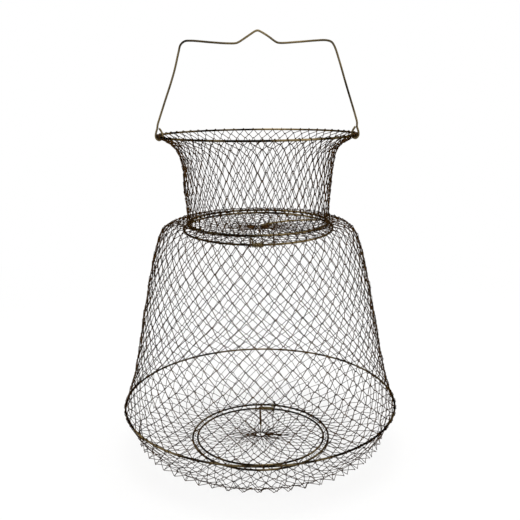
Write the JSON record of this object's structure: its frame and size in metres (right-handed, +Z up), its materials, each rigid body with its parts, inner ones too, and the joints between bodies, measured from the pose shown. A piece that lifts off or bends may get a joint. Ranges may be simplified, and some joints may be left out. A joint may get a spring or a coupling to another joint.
{
  "type": "collapsible wire fish basket",
  "caption": "Collapsible round wire-mesh fish basket with a flared mouth, a sprung lid in its neck, a sprung trap door in its flat foot and a swinging wire bail.",
  "frame": {"origin": "on the ground, under the middle of the basket's box; the hoops' common axis passes within 0.1 mm of it", "axes": "+Z up along the hoops' common axis, -Y the front, where the lid is hinged, +X the viewer's right"},
  "size_m": [0.3358, 0.3365, 0.4934],
  "materials": {
    "bronze_plated_wire": "drawn steel wire with a dull bronze-coloured plating",
    "brass_plated_spring_wire": "spring steel wire with a thin yellow brass-coloured plating",
    "dark_steel_wire": "fine dark plated steel wire"
  },
  "bodies": {
    "foot": {"bottom_hoop": "bronze_plated_wire", "base_net": "dark_steel_wire", "trap_door_hinge_link_left": "bronze_plated_wire", "trap_door_hinge_link_right": "bronze_plated_wire"},
    "belly": {"belly_hoop": "bronze_plated_wire", "skirt_net_row_01": "dark_steel_wire", "skirt_net_row_02": "dark_steel_wire", "skirt_net_row_03": "dark_steel_wire", "skirt_net_row_04": "dark_steel_wire"},
    "neck": {"neck_hoop": "bronze_plated_wire", "lid_hinge_link_left": "bronze_plated_wire", "lid_hinge_link_right": "bronze_plated_wire", "body_net_row_01": "dark_steel_wire", "body_net_row_02": "dark_steel_wire", "body_net_row_03": "dark_steel_wire", "body_net_row_04": "dark_steel_wire", "body_net_row_05": "dark_steel_wire", "body_net_row_06": "dark_steel_wire", "body_net_row_07": "dark_steel_wire", "body_net_row_08": "dark_steel_wire", "body_net_row_09": "dark_steel_wire", "body_net_row_10": "dark_steel_wire"},
    "mouth": {"mouth_hoop": "bronze_plated_wire", "neck_net_row_01": "dark_steel_wire", "neck_net_row_02": "dark_steel_wire", "neck_net_row_03": "dark_steel_wire", "neck_net_row_04": "dark_steel_wire", "neck_net_row_05": "dark_steel_wire"},
    "bail": {"bail": "bronze_plated_wire"},
    "lid": {"lid_hoop": "bronze_plated_wire", "lid_net": "dark_steel_wire", "lid_gather_ring": "dark_steel_wire", "lid_crimp": "dark_steel_wire", "lid_spring": "brass_plated_spring_wire"},
    "trap_door": {"trap_door_hoop": "bronze_plated_wire", "trap_door_net": "dark_steel_wire", "trap_door_gather_ring": "dark_steel_wire", "trap_door_crimp": "dark_steel_wire", "trap_door_spring": "brass_plated_spring_wire"}
  },
  "joints": [
    {"name": "belly_slide", "type": "slide", "parent": "foot", "child": "belly", "axis": [0, 0, 1], "range_m": [-0.041, 0], "deforming": ["skirt_net_row_01", "skirt_net_row_02", "skirt_net_row_03", "skirt_net_row_04"]},
    {"name": "neck_slide", "type": "slide", "parent": "belly", "child": "neck", "axis": [0, 0, 1], "range_m": [-0.205, 0], "deforming": ["body_net_row_01", "body_net_row_02", "body_net_row_03", "body_net_row_04", "body_net_row_05", "body_net_row_06", "body_net_row_07", "body_net_row_08", "body_net_row_09", "body_net_row_10"]},
    {"name": "mouth_slide", "type": "slide", "parent": "neck", "child": "mouth", "axis": [0, 0, 1], "range_m": [-0.088, 0], "deforming": ["neck_net_row_01", "neck_net_row_02", "neck_net_row_03", "neck_net_row_04", "neck_net_row_05"]},
    {"name": "bail_hinge", "type": "hinge", "parent": "mouth", "child": "bail", "pos_m": [0, 0, 0.3804], "axis": [1, 0, 0], "range_deg": [-60, 60]},
    {"name": "lid_hinge", "type": "hinge", "parent": "neck", "child": "lid", "pos_m": [0.00419, -0.08576, 0.27073], "axis": [-0.9988, -0.0489, 0], "range_deg": [0, 80], "stiffness_Nm_per_rad": 0.03, "springref_deg": -85.94, "deforming": ["lid_spring"]},
    {"name": "trap_door_hinge", "type": "hinge", "parent": "foot", "child": "trap_door", "pos_m": [0.00626, 0.07781, 0.00347], "axis": [0.9968, -0.0802, 0], "range_deg": [0, 85], "stiffness_Nm_per_rad": 0.03, "springref_deg": -85.94, "deforming": ["trap_door_spring"]}
  ]
}
